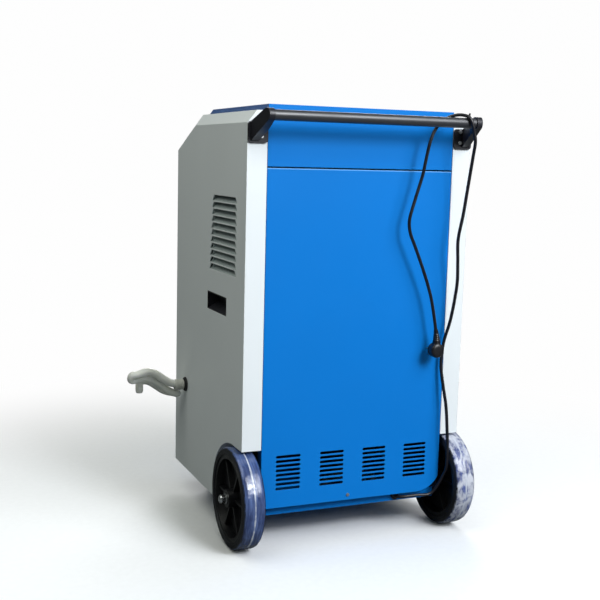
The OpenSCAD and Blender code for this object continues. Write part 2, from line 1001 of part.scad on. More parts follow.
module axle() {
    color(steel)
        union() {
            bar_x(-axle_end, axle_end, wheel_y, wheel_z, axle_d / 2);
            // Collars that keep the wheels off the wheel wells
            both_sides()
                bar_x(hs - 1.7, hub_in - 0.4, wheel_y, wheel_z, axle_d / 2 + 4);
        }
}

module axle_brackets() {
    color(dark_navy)
        both_sides()
            difference() {
                union() {
                    span([post_x - 6, 210, base_z + cover_t], [post_x, post_y, 148]);
                    span([post_x - post_w, 210, 145], [post_x, post_y, 148]);
                }
                bar_x(post_x - 30, post_x + 1, wheel_y, wheel_z, axle_d / 2 + shaft_gap);
            }
}

module axle_caps() {
    r = axle_d / 2;
    color(steel)
        both_sides()
            translate([hub_out + 0.6, wheel_y, wheel_z])
                rotate([0, 90, 0])
                    difference() {
                        rotate_extrude()
                            polygon([[0, 0], [r + 5, 0], [r + 5, 2], [r + 3, 3], [r + 3, 13],
                                     [r + 1, 16.5], [r - 3, 18.5], [0, 19]]);
                        translate([0, 0, -1])
                            cylinder(r = r, h = 13);
                    }
}

// Hub, dish, ribs and rim in one moulding, with its bore at running clearance.
module wheel() {
    bore = axle_d / 2 + shaft_gap;
    color(black)
        translate([wheel_mid, wheel_y, wheel_z]) {
            rotate([0, 90, 0])
                rotate_extrude($fn = 96)
                    polygon([[bore, -31], [24, -31], [24, -4], [94, -4], [97, -bead - 4],
                             [rim_r + 5, -bead - 4], [rim_r + 5, -bead], [rim_r, 4 - bead],
                             [rim_r, bead - 4], [rim_r + 5, bead], [rim_r + 5, bead + 4],
                             [97, bead + 4], [94, 4], [24, 4], [22, 31], [bore, 31]]);
            for (i = [0 : 5])
                rotate([i * 60 + 30, 0, 0])
                    translate([-17, -2.5, 22])
                        cube([34, 5, 73]);
        }
}

module wheel_right() { wheel(); }
module wheel_left() { mirror([1, 0, 0]) wheel(); }

module tyre() {
    h = tyre_w / 2;
    r = tyre_d / 2;
    color([0.12, 0.12, 0.13])
        translate([wheel_mid, wheel_y, wheel_z])
            rotate([0, 90, 0])
                rotate_extrude($fn = 128)
                    polygon([[rim_r, 4.2 - bead], [rim_r + 5.2, -bead], [rim_r + 5.2, -h + 1.5],
                             [rim_r + 7, -h], [r - 9, -h], [r - 4.5, -h + 3], [r - 1.5, -h + 8],
                             [r, -h + 14], [r, h - 14], [r - 1.5, h - 8], [r - 4.5, h - 3],
                             [r - 9, h], [rim_r + 7, h], [rim_r + 5.2, h - 1.5],
                             [rim_r + 5.2, bead], [rim_r, bead - 4.2]]);
}

module tyre_right() { tyre(); }
module tyre_left() { mirror([1, 0, 0]) tyre(); }

// ---- Front castors ----

module castor_plates() {
    color(steel)
        both_sides()
            translate([castor_x, castor_y, 0]) {
                translate([0, 0, base_z - 3])
                    linear_extrude(3)
                        difference() {
                            round_rect(60, 60, 6);
                            for (bx = [-22, 22], by = [-22, 22])
                                translate([bx, by])
                                    circle(r = 3.2, $fn = 24);
                        }
                // Swivel race and kingpin
                translate([0, 0, base_z - 8])
                    cylinder(r = 22, h = 5 + eps);
                translate([0, 0, fork_top - 5])
                    cylinder(r = 5, h = 8);
                translate([0, 0, fork_top - 7])
                    cylinder(r = 8, h = 3.5);
                // Bolts through the base
                for (bx = [-22, 22], by = [-22, 22])
                    translate([bx, by, base_z - 7]) {
                        cylinder(r = 5.5, h = 4 + eps, $fn = 6);
                        cylinder(r = 3, h = 15, $fn = 24);
                    }
            }
}

module castor_fork() {
    wy = castor_y + castor_trail;
    color(steel)
        translate([castor_x, 0, 0]) {
            difference() {
                union() {
                    translate([0, castor_y, fork_top - 3])
                        cylinder(r = 22, h = 5);
                    span([-16, castor_y - 10, fork_top - 3], [16, wy + 10, fork_top]);
                    for (x = [-16, 13])
                        along_x(x, 3)
                            hull_free_leg(wy);
                }
                translate([0, castor_y, fork_top - 10])
                    cylinder(r = 5 + shaft_gap, h = 20);
            }
            // Wheel axle, riveted through the fork
            bar_x(-18, 18, wy, castor_r, 4);
        }
}

// One fork leg in (Y, Z), wide at the top and round at the axle.
module hull_free_leg(wy) {
    polygon([[castor_y - 10, fork_top], [wy + 10, fork_top], [wy + 9, castor_r],
             [wy - 9, castor_r]]);
    translate([wy, castor_r])
        circle(r = 9);
}

module castor_fork_right() { castor_fork(); }
module castor_fork_left() { mirror([1, 0, 0]) castor_fork(); }

module castor_wheel() {
    h = castor_w / 2;
    color([0.14, 0.14, 0.15])
        translate([castor_x, castor_y + castor_trail, castor_r])
            rotate([0, 90, 0])
                rotate_extrude()
                    polygon([[4 + shaft_gap, -h - 1], [9, -h - 1], [10, -h + 3], [20, -h + 3],
                             [22, -h], [castor_r - 3, -h], [castor_r, -h + 4], [castor_r, h - 4],
                             [castor_r - 3, h], [22, h], [20, h - 3], [10, h - 3], [9, h + 1],
                             [4 + shaft_gap, h + 1]]);
}

module castor_wheel_right() { castor_wheel(); }
module castor_wheel_left() { mirror([1, 0, 0]) castor_wheel(); }

// ---- Power cord and plug ----

cord_r = 4.25;
plug = [-205, 321, 488];
over = handle_d / 2 + cord_r + 1.6;
front_y = handle_y + over;
cord_path = [[-135, tray_hd + 1, base_z + 14], [-140, 273, 94], [-187, 285, 97], [-225, 290, 99],
             [-243, 296, 122], [-253, 303, 148], [-255.5, 314, 172], [-255, 316, 220],
             [-250, 318, 276], [-247, 312, 338], [-240, 304, 393], [-235, 298, 445],
             [-239, 300, 503], [-249, 310, 559], [-253, 322, 623], [-253, 329, 665],
             [-249, 333, 715], [-244, 338, 768], [-252, 344, 834], [-257, 352, 905],
             [-258, 366, 974], [-258, front_y, 1012], [-254, front_y, 1033],
             [-247, front_y, handle_z],
             [-240, handle_y + over * 0.7, handle_z + over * 0.75],
             [-224, handle_y, handle_z + over + 0.8],
             [-203, handle_y - over * 0.75, handle_z + over * 0.75],
             [-182, handle_y - over - 1, handle_z], [-166, 334.5, 1036], [-155, 334, 1009],
             [-149, 331, 976], [-141, 328, 928], [-124, 326, 868], [-111.5, 324, 815],
             [-115.5, 324, 785], [-128.6, 323, 757], [-156, 322, 696], [-182, 321, 628],
             [-197, 321, 563], [-202, 321, 536], [plug[0], plug[1], plug[2] + 22]];

module power_cord() {
    color(black) {
        run(cord_path, cord_r, 40);
        // Gland in the base
        bar_y(tray_hd - 8, tray_hd - 2, -135, base_z + 14, 10);
        bar_y(tray_hd - 3, tray_hd + 1, -135, base_z + 14, 7.8);
        bar_y(tray_hd, tray_hd + 8, -135, base_z + 14, 10);
        // Round right-angled plug with its boot
        bar_y(plug[1] - 13, plug[1] + 13, plug[0], plug[2], 19);
        rod([plug[0], plug[1], plug[2] + 15], [plug[0] + 3, plug[1], plug[2] + 40], 6.5);
    }
    color(steel)
        for (x = [-9.5, 9.5])
            bar_y(plug[1] - 32, plug[1] - 12, plug[0] + x, plug[2], 2.4);
}

base_tray();
chassis_frame();
wheel_well_right();
wheel_well_left();
side_cover_right();
side_cover_left();
top_cover();
front_panel();
rear_panel();
rear_panel_screw();
control_fascia();
display_window();
control_board();
power_button();
mode_button();
up_button();
down_button();
timer_button();
intake_grille();
air_filter();
grille_hinges();
grille_catches();
handle_tube();
handle_bracket_right();
handle_bracket_left();
bracket_screws();
grip_cup_right();
grip_cup_left();
drain_grommet();
drain_hose();
drip_tray();
evaporator();
condenser();
fan_bulkhead();
fan_inlet_ring();
fan_impeller();
fan_motor();
motor_mount();
partition_floor();
partition_roof();
control_box();
run_capacitor();
compressor();
compressor_mounts();
suction_pipe();
discharge_pipe();
filter_drier();
axle();
axle_brackets();
axle_caps();
wheel_right();
tyre_right();
wheel_left();
tyre_left();
castor_plates();
castor_fork_right();
castor_fork_left();
castor_wheel_right();
castor_wheel_left();
power_cord();
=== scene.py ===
import json
import math

import bmesh
import bpy
from mathutils import Matrix, Vector, noise


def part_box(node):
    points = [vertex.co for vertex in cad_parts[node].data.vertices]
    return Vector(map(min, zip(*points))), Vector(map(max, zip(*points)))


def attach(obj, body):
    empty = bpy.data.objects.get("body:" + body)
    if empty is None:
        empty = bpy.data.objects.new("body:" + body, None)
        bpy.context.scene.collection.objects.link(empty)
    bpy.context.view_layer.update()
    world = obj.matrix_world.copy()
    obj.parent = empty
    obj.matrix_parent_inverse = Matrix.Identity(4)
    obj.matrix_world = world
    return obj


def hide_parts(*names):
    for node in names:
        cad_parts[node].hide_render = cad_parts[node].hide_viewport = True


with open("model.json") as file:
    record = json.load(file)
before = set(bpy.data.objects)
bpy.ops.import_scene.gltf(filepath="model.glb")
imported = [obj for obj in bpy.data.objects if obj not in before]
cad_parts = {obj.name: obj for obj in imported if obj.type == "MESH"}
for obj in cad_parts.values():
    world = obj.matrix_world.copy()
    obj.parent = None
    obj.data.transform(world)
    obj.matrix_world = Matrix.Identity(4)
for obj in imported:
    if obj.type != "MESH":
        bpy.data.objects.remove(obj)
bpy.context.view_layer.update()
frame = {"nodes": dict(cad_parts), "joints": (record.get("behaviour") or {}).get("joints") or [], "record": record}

# Lengths and places are in millimetres: +Z up from the floor, +Y to the rear, where the handle is,
# and +X to the side with the drain hose. MM scales them to Blender's metres.
MM = 0.001
TAU = 2 * math.pi

# ------------------------------------------------------ places from the frame


def place(rows, name):
    """Where a named joint or mount stands."""
    row = next(row for row in rows if row["name"] == name)
    return Vector([c / MM for c in row["pos_m"]])


def extent(node):
    """A CAD node's lowest and highest corner."""
    low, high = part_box(node)
    return low / MM, high / MM


def middle(node):
    low, high = extent(node)
    return (low + high) / 2


JOINTS = frame["joints"]
MOUNTS = frame["record"]["mounts"]
GRIP = place(MOUNTS, "handle_grip")
OUTLET = place(MOUNTS, "drain_outlet")
WHEEL = place(JOINTS, "wheel_right_spin")
tyre_low, tyre_high = extent("tyre_right")
TYRE_R = (tyre_high.z - tyre_low.z) / 2
TYRE_HALF = (tyre_high.x - tyre_low.x) / 2

# ---------------------------------------------------------------- shader help


def lin(r, g, b):
    """An sRGB colour in 0-255 as linear RGBA."""
    out = []
    for c in (r, g, b):
        c /= 255
        out.append(c / 12.92 if c <= 0.04045 else ((c + 0.055) / 1.055) ** 2.4)
    return (*out, 1.0)


def tone(rgba, k):
    """The same colour, lighter or darker by a factor."""
    return (rgba[0] * k, rgba[1] * k, rgba[2] * k, 1.0)


class Nodes:
    """A node tree with short helpers. Noise and cell scales are per metre, depths and radii are mm."""

    def __init__(self, tree, space):
        self.tree = tree
        self.pos = self.node("TexCoord").outputs[space]

    def node(self, kind, props=None, **inputs):
        """A new node. An input is named by its label, or as i0, i1 by its number."""
        made = self.tree.nodes.new("ShaderNode" + kind)
        for key, value in (props or {}).items():
            setattr(made, key, value)
        for key, value in inputs.items():
            numbered = key[0] == "i" and key[1:].isdigit()
            at = int(key[1:]) if numbered else key.replace("_", " ")
            self.feed(made.inputs[at], value)
        return made

    def feed(self, socket, value):
        if isinstance(value, bpy.types.NodeSocket):
            self.tree.links.new(value, socket)
        else:
            socket.default_value = value

    def noise(self, scale, detail=2.0, rough=0.5, vector=None, distortion=0.0):
        made = self.node("TexNoise", Vector=vector or self.pos, Scale=scale, Detail=detail,
                         Roughness=rough, Distortion=distortion)
        return made.outputs["Fac"]

    def cells(self, scale):
        """Distance to the nearest cell's centre, and that cell's random colour."""
        made = self.node("TexVoronoi", Vector=self.pos, Scale=scale)
        return made.outputs["Distance"], made.outputs["Color"]

    def squeeze(self, scales):
        """The pattern place, scaled along each axis."""
        return self.node("Mapping", Vector=self.pos, Scale=scales).outputs["Vector"]

    def calc(self, op, a, b=0.0):
        return self.node("Math", {"operation": op}, i0=a, i1=b).outputs[0]

    def times(self, product, *others):
        for other in others:
            product = self.calc("MULTIPLY", product, other)
        return product

    def spread(self, value, lo, hi, to_lo=0.0, to_hi=1.0):
        """A smooth step between two levels of a value."""
        made = self.node("MapRange", {"interpolation_type": "SMOOTHSTEP"}, i0=value, i1=lo, i2=hi,
                         i3=to_lo, i4=to_hi)
        return made.outputs[0]

    def patches(self, scale, detail, lo, hi, rough=0.5):
        """Soft patches of 1 on 0: noise stepped between two of its levels."""
        return self.spread(self.noise(scale, detail, rough), lo, hi)

    def mix(self, fac, a, b):
        """Two colours mixed. Sockets 6, 7 and 2 are the node's colours."""
        return self.node("Mix", {"data_type": "RGBA"}, i0=fac, i6=a, i7=b).outputs[2]

    def axis(self, letter, vector=None):
        return self.node("SeparateXYZ", Vector=vector or self.pos).outputs["XYZ".index(letter)]

    def past(self, letter, start, end):
        """0 at one place along an axis and 1 at another."""
        return self.spread(self.axis(letter), start * MM, end * MM)

    def window(self, letter, rise, fall):
        """1 between two places along an axis, fading in over rise and out over fall."""
        return self.times(self.past(letter, *rise), self.past(letter, *reversed(fall)))

    def beyond(self, letter, start, end):
        """0 at one distance from the middle plane and 1 at another, on either side of it."""
        return self.spread(self.calc("ABSOLUTE", self.axis(letter)), start * MM, end * MM)

    def bump(self, height, depth, strength=1.0, normal=None):
        made = self.node("Bump", Height=height, Distance=depth * MM, Strength=strength)
        if normal is not None:
            self.feed(made.inputs["Normal"], normal)
        return made.outputs["Normal"]

    def rounded(self, radius):
        return self.node("Bevel", {"samples": 4}, Radius=radius * MM).outputs["Normal"]

    def edges(self, radius):
        """1 on a sharp edge, 0 on a flat face."""
        face = self.node("NewGeometry").outputs["Normal"]
        dot = self.node("VectorMath", {"operation": "DOT_PRODUCT"}, i0=self.rounded(radius), i1=face)
        return self.spread(dot.outputs["Value"], 0.995, 0.90)


class Shader(Nodes):
    """A Principled material."""

    def __init__(self, name):
        self.mat = bpy.data.materials.new(name)
        self.mat.use_nodes = True
        super().__init__(self.mat.node_tree, "Object")
        self.bsdf = self.tree.nodes["Principled BSDF"]

    def finish(self, **inputs):
        """Sets the surface's inputs and gives the material."""
        for key, value in inputs.items():
            self.feed(self.bsdf.inputs[key.replace("_", " ")], value)
        return self.mat


# ------------------------------------------------------------ kinds of finish

BLUE = lin(6, 118, 204)
WHITE = lin(231, 236, 238)
DUST = lin(176, 172, 160)


def painted(name, colour, rough, peel=0.04, edge=0.8, worn=None, mottling=0.06, dust=0.0,
            gloss=0.5, painted_light=None):
    """Powder-coated sheet: orange peel, soft folds, broad colour drift, worn edges and a little dust.
    peel is the depth of its orange peel, edge the radius of its folds, and the last argument adds painted light
    and shade in given places."""
    s = Shader(name)
    drift = s.patches(3.1, 4, 0.3, 0.7)
    base = s.mix(drift, tone(colour, 1 - mottling), tone(colour, 1 + mottling))
    specks = s.patches(2600, 1, 0.55, 0.75)
    base = s.mix(s.times(specks, 0.10), base, tone(colour, 0.72))
    if worn:
        chips = s.times(s.edges(edge * 1.6), s.patches(150, 4, 0.45, 0.75))
        base = s.mix(s.times(chips, 0.6), base, worn)
    if dust:
        facing_up = s.spread(s.axis("Z", s.node("NewGeometry").outputs["Normal"]), 0.4, 0.95)
        low_down = s.past("Z", 300, 90)
        settled = s.times(s.calc("MAXIMUM", facing_up, low_down), s.patches(14, 5, 0.4, 0.8))
        base = s.mix(s.times(settled, dust), base, DUST)
    # Painted light and shade in given places
    if painted_light:
        base = painted_light(s, base)
    smear = s.patches(7, 5, 0.3, 0.8, rough=0.6)
    return s.finish(Base_Color=base, Specular_IOR_Level=gloss,
                    Roughness=s.spread(smear, 0.0, 1.0, rough - 0.03, rough + 0.04),
                    Normal=s.bump(s.noise(420, 2, 0.55), peel, 1.0, s.rounded(edge)))


def blade_painted_shade(s, base):
    """The baffle blades behind the side covers' louvre openings, with painted shade: darker than the sheet, as if
    shaded inside the openings.
    """
    sheet = 1.2
    behind = extent("side_cover_right")[1].x - sheet
    mask = s.times(s.beyond("X", behind - 0.02, behind - 0.12),
                   s.window("Z", (655, 660), (875, 880)), s.window("Y", (4, 8), (238, 242)))
    # Painted shade: the blades greyer than the white sheet
    return s.mix(mask, base, s.mix(s.noise(240, 3), lin(160, 171, 172), lin(180, 190, 190)))


def hem_highlight_and_side_shade(s, base):
    """Painted light on the blue: a painted highlight along the rear panel's top hem, and painted shade on the top
    cover's turned-down sides.
    """
    top = extent("rear_panel")[1].z
    hem = s.window("Z", (top - 2.8, top - 2.0), (top + 0.2, top + 0.6))
    # Painted highlight: the hem's top edge lighter, as if lit from above
    base = s.mix(s.times(hem, s.past("Y", 200, 210), 0.6), base, lin(120, 180, 236))
    side = extent("top_cover")[1].x
    turned = s.times(s.beyond("X", side - 0.5, side - 0.2), s.past("Z", 1030, 1034))
    # Painted shade: the turned-down sides darker and greyer, as if in shade
    return s.mix(s.times(turned, 0.8), base, lin(88, 104, 146))


def moulded(name, colour, rough, grain=900, depth=0.06):
    """Moulded plastic or rubber with a spark-eroded grain, rubbed lighter along its edges."""
    s = Shader(name)
    edge = 0.6
    base = s.mix(s.patches(11, 4, 0.3, 0.7), tone(colour, 0.85), tone(colour, 1.2))
    rubbed = s.times(s.edges(edge * 1.5), s.patches(120, 3, 0.4, 0.7))
    base = s.mix(s.times(rubbed, 0.35), base, tone(colour, 2.6))
    return s.finish(Base_Color=base,
                    Roughness=s.spread(s.noise(26, 4), 0.3, 0.7, rough - 0.06, rough + 0.08),
                    Normal=s.bump(s.noise(grain, 3, 0.6), depth, 1.0, s.rounded(edge)))


def metal(name, colour, rough, brush=(40, 40, 900), spots=None):
    """Bare or plated metal, brushed along the axes with a low brush scale, with faint blotches."""
    s = Shader(name)
    grain = s.noise(1.0, 3, 0.6, s.squeeze(brush))
    blotch = s.patches(38, 5, 0.35, 0.7, rough=0.65)
    uneven = s.calc("ADD", s.times(grain, 0.6), s.times(blotch, 0.4))
    return s.finish(Base_Color=s.mix(blotch, colour, spots or tone(colour, 0.82)), Metallic=1.0,
                    Roughness=s.spread(uneven, 0.2, 0.8, rough - 0.06, rough + 0.10),
                    Normal=s.bump(grain, 0.01, 0.8, s.rounded(0.4)))


def plain(name, colour, rough, metallic=0.0):
    """A small part with a fine cloudy finish."""
    s = Shader(name)
    cloud = s.patches(60, 4, 0.3, 0.7)
    return s.finish(Base_Color=s.mix(cloud, tone(colour, 0.85), tone(colour, 1.12)),
                    Metallic=metallic, Roughness=s.spread(cloud, 0, 1, rough - 0.05, rough + 0.06),
                    Normal=s.bump(s.noise(900, 2), 0.03, 0.7))


def galvanised():
    """Zinc flakes, each with its own grey."""
    s = Shader("galvanised")
    flake, tint = s.cells(85)
    shade = s.spread(s.axis("X", tint), 0.0, 1.0)
    return s.finish(Base_Color=s.mix(shade, lin(150, 155, 160), lin(205, 208, 210)), Metallic=0.9,
                    Roughness=s.spread(flake, 0.0, 0.7, 0.34, 0.5),
                    Normal=s.bump(flake, 0.03, 0.5, s.rounded(0.6)))


def circuit_board():
    """Green board with raised tracks and solder dots."""
    s = Shader("circuit_board")
    track = s.node("TexBrick", {"offset": 0.5}, Vector=s.pos, Scale=60.0, Mortar_Size=0.03)
    raised = track.outputs["Fac"]
    dots = s.spread(s.cells(260)[0], 0.22, 0.18)
    base = s.mix(raised, lin(18, 84, 48), lin(40, 118, 66))
    return s.finish(Base_Color=s.mix(dots, base, lin(196, 190, 150)), Roughness=0.35,
                    Normal=s.bump(raised, 0.06, 0.6))


def smoked_glass():
    """Display window with wiped smears."""
    s = Shader("display_glass")
    wipe = s.patches(18, 5, 0.4, 0.8, rough=0.65)
    return s.finish(Base_Color=s.mix(wipe, lin(10, 12, 15), lin(20, 22, 26)), Coat_Weight=0.6,
                    Coat_Roughness=0.03, Roughness=s.spread(wipe, 0, 1, 0.06, 0.2),
                    Normal=s.rounded(0.6))


def woven_filter():
    """Nylon mesh: two crossed sets of threads, with dust caught in patches."""
    s = Shader("filter_mesh")
    # Radians a metre, which puts the threads about 1.6 mm apart
    thread_rate = 1960.0

    def threads(letter):
        return s.calc("ABSOLUTE", s.calc("SINE", s.times(s.axis(letter), thread_rate)))
    weave = s.calc("MAXIMUM", threads("X"), threads("Z"))
    base = s.mix(s.spread(weave, 0.55, 0.9), lin(26, 28, 31), lin(84, 88, 93))
    dusty = s.times(s.patches(30, 5, 0.45, 0.8), 0.25)
    return s.finish(Base_Color=s.mix(dusty, base, lin(140, 138, 130)), Roughness=0.66,
                    Normal=s.bump(weave, 0.3, 0.8, s.rounded(0.5)))


def hose_vinyl():
    """Cloudy soft vinyl, faintly uneven."""
    s = Shader("hose_clear")
    cloud = s.patches(34, 5, 0.3, 0.75, rough=0.6)
    return s.finish(Base_Color=s.mix(cloud, lin(236, 237, 230), lin(246, 246, 240)),
                    Roughness=s.spread(cloud, 0, 1, 0.3, 0.42), Coat_Weight=0.15,
                    Subsurface_Weight=0.35, Subsurface_Radius=(0.006, 0.006, 0.005),
                    Subsurface_Scale=0.6, Normal=s.bump(s.noise(260, 3), 0.08, 0.8))


def tyre_rubber():
    """Solid black rubber with scuffed rings."""
    s = Shader("tyre_rubber")
    base = s.mix(s.patches(20, 5, 0.3, 0.7), lin(10, 12, 19), lin(20, 23, 32))
    scuffs = s.times(s.edges(1.0), s.patches(60, 4, 0.4, 0.7), 0.4)
    return s.finish(Base_Color=s.mix(scuffs, base, lin(80, 82, 86)), Roughness=0.5,
                    Normal=s.bump(s.noise(700, 3), 0.08, 1.0, s.rounded(0.6)))


def tread_film(name, milk, blue, haze, pale):
    """Clear packing film stretched round a dark tread: milky where it stands off, with a painted blue
    reflection where it clings and a painted highlight along the parting ridge. A lower milk makes more of it
    milky."""
    s = Shader(name)
    off_middle = s.calc("ABSOLUTE", s.calc("SUBTRACT", s.calc("ABSOLUTE", s.axis("X")), WHEEL.x * MM))
    streak = s.noise(1.0, 5, 0.62, s.squeeze((60, 26, 26)), 0.6)
    patch = s.noise(30, 5, 0.62, None, 0.9)
    mottle = s.calc("ADD", s.times(streak, 0.45), s.times(patch, 0.55))
    milky = s.spread(mottle, milk, milk + 0.16)
    wander = s.calc("ADD", off_middle, s.times(s.calc("SUBTRACT", s.noise(22, 3), 0.5), 4 * MM))
    # Painted highlight: white along the parting ridge, wandering a little
    ridge = s.times(s.spread(wander, 2.8 * MM, 0.8 * MM), s.spread(s.noise(60, 3), 0.2, 0.6, 0.25, 1.0))
    # Painted reflection: blue streaked with a lighter haze where the film clings
    clinging_reflection = s.mix(s.spread(s.noise(1.0, 5, 0.6, s.squeeze((130, 16, 16))), 0.3, 0.72), blue, haze)
    base = s.mix(milky, clinging_reflection, s.mix(patch, pale, lin(222, 224, 232)))
    return s.finish(Base_Color=s.mix(ridge, base, lin(196, 202, 214)), Coat_Weight=0.5,
                    Coat_Roughness=0.14, Specular_IOR_Level=0.4,
                    Roughness=s.spread(milky, 0, 1, 0.26, 0.46),
                    Normal=s.bump(s.noise(170, 4, 0.6), 0.4, 0.7))


# ------------------------------------------------------------------ materials

mats = {
    "blue_steel": painted("blue_steel", BLUE, 0.47, peel=0.02, edge=1.1, worn=lin(60, 140, 220),
                          mottling=0.018, gloss=0.12, painted_light=hem_highlight_and_side_shade),
    "cover_paint": painted("cover_paint", WHITE, 0.46, peel=0.02, edge=1.4, worn=lin(205, 206, 203),
                           mottling=0.012, dust=0.03, gloss=0.4, painted_light=blade_painted_shade),
    "dark_frame": painted("dark_frame", lin(13, 20, 38), 0.5, mottling=0.08, dust=0.12, gloss=0.3),
    "handle_coating": painted("handle_coating", lin(36, 37, 42), 0.44, peel=0.02, edge=0.5,
                              worn=lin(96, 96, 100), mottling=0.08, gloss=0.9),
    "fan_black": painted("fan_black", lin(32, 32, 35), 0.42, peel=0.03, mottling=0.1, dust=0.15),
    "black_plastic": moulded("black_plastic", lin(24, 24, 32), 0.42),
    "wheel_nylon": moulded("wheel_nylon", lin(13, 14, 18), 0.4, depth=0.05),
    "rubber_black": moulded("rubber_black", lin(22, 22, 24), 0.62, grain=500, depth=0.08),
    "button_grey": moulded("button_grey", lin(196, 200, 203), 0.48, grain=1100, depth=0.03),
    "castor_rubber": moulded("castor_rubber", lin(40, 40, 44), 0.58, grain=420, depth=0.1),
    "cord_pvc": moulded("cord_pvc", lin(15, 14, 20), 0.34, grain=700, depth=0.03),
    "drip_collar": moulded("hose_collar", lin(188, 189, 182), 0.5, grain=300, depth=0.1),
    "zinc_steel": metal("zinc_steel", lin(196, 198, 200), 0.30),
    "screw_zinc": metal("screw_zinc", lin(238, 240, 242), 0.52, (60, 60, 60)),
    "stainless": metal("stainless", lin(205, 206, 208), 0.28, (8, 700, 700)),
    "coil_metal": metal("coil_metal", lin(206, 209, 212), 0.34, (900, 40, 40)),
    "copper": metal("copper", lin(196, 122, 84), 0.34, (200, 200, 200), spots=lin(140, 84, 60)),
    "galvanised": galvanised(),
    "circuit_board": circuit_board(),
    "display_glass": smoked_glass(),
    "filter_mesh": woven_filter(),
    "hose_clear": hose_vinyl(),
    "tyre_rubber": tyre_rubber(),
    "film_thin": tread_film("tread_film_thin", 0.63, lin(36, 50, 92), lin(84, 104, 152),
                            lin(104, 120, 158)),
    "film_thick": tread_film("tread_film_thick", 0.41, lin(34, 44, 92), lin(96, 110, 166),
                             lin(150, 156, 174)),
    "ink": plain("printed_ink", lin(44, 48, 54), 0.5),
    "digit": plain("display_segment", lin(58, 20, 18), 0.4),
    "brass": plain("plug_pin", lin(206, 196, 168), 0.3, metallic=1.0),
}

# Nodes whose finish differs from the rest of their slot
FINISH = {"wheel_right": "wheel_nylon", "wheel_left": "wheel_nylon", "bracket_screws": "screw_zinc"}

for item in frame["record"]["subparts"]:
    for material_slot in frame["nodes"][item["node"]].material_slots:
        material_slot.material = mats[FINISH.get(item["node"], item["material_slot"])]

# ------------------------------------------------------------------ mesh help


def add(name, verts, faces, material, body, slot, crease):
    """A new piece on a CAD body. Edges that turn more than crease degrees stay sharp; with 0, all do."""
    mesh = bpy.data.meshes.new(name)
    mesh.from_pydata([Vector(v) * MM for v in verts], [], faces)
    bm = bmesh.new()
    bm.from_mesh(mesh)
    bmesh.ops.remove_doubles(bm, verts=bm.verts, dist=1e-7)
    bmesh.ops.recalc_face_normals(bm, faces=bm.faces)
    bm.to_mesh(mesh)
    bm.free()
    mesh.materials.append(mats[material])
    if crease:
        for polygon in mesh.polygons:
            polygon.use_smooth = True
        mesh.set_sharp_from_angle(angle=math.radians(crease))
    made = bpy.data.objects.new(name, mesh)
    bpy.context.scene.collection.objects.link(made)
    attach(made, body)
    return made


def join(*parts):
    """One vertex and face list from several."""
    verts, faces = [], []
    for part_verts, part_faces in parts:
        base = len(verts)
        verts += part_verts
        faces += [[i + base for i in face] for face in part_faces]
    return verts, faces


def lathe(profile, centre, axis, steps, closed=False):
    """Turns (radius, along) points round an axis; points on the axis become poles."""
    axis = Vector(axis).normalized()
    side = axis.orthogonal().normalized()
    other = axis.cross(side)
    verts, faces = [], []
    for k in range(steps):
        turn = TAU * k / steps
        out = side * math.cos(turn) + other * math.sin(turn)
        verts += [Vector(centre) + out * r + axis * a for r, a in profile]
    n = len(profile)
    for k in range(steps):
        here, there = k * n, (k + 1) % steps * n
        for i in range(n if closed else n - 1):
            j = (i + 1) % n
            ring = [here + i, here + j, there + j, there + i]
            if profile[i][0] == 0:
                ring = [here + i, here + j, there + j]
            elif profile[j][0] == 0:
                ring = [here + i, here + j, there + i]
            faces.append(ring)
    return verts, faces


def rounded_corners(points, rounds):
    """Chaikin's corner cutting: a soft curve that keeps both ends."""
    points = [Vector(p) for p in points]
    for _ in range(rounds):
        cut = [points[0]]
        for a, b in zip(points, points[1:]):
            cut += [a.lerp(b, 0.25), a.lerp(b, 0.75)]
        points = cut + [points[-1]]
    return points


def through(points, steps):
    """A centripetal Catmull-Rom curve through every point, with a number of steps between two."""
    points = [Vector(p) for p in points]
    points = [points[0] * 2 - points[1]] + points + [points[-1] * 2 - points[-2]]
    curve = []
    for i in range(1, len(points) - 2):
        span = points[i - 1:i + 3]
        knots = [0.0]
        for a, b in zip(span, span[1:]):
            knots.append(knots[-1] + math.sqrt((b - a).length))
        for k in range(steps):
            t = knots[1] + (knots[2] - knots[1]) * k / steps
            # Lerps between lerps, over wider and wider stretches of the knots
            row = span
            for width in (1, 2):
                row = [row[j].lerp(row[j + 1], (t - knots[j]) / (knots[j + width] - knots[j]))
                       for j in range(len(row) - 1)]
            curve.append(row[0].lerp(row[1], k / steps))
    return curve + [points[-2]]


def even(points, step):
    """The same curve with points a fixed distance apart."""
    lengths = [0.0]
    for a, b in zip(points, points[1:]):
        lengths.append(lengths[-1] + (b - a).length)
    count = max(2, round(lengths[-1] / step))
    out = []
    i = 0
    for k in range(count + 1):
        want = lengths[-1] * k / count
        while i < len(points) - 2 and lengths[i + 1] < want:
            i += 1
        span = max(lengths[i + 1] - lengths[i], 1e-9)
        out.append(points[i].lerp(points[i + 1], min(1.0, (want - lengths[i]) / span)))
    return out


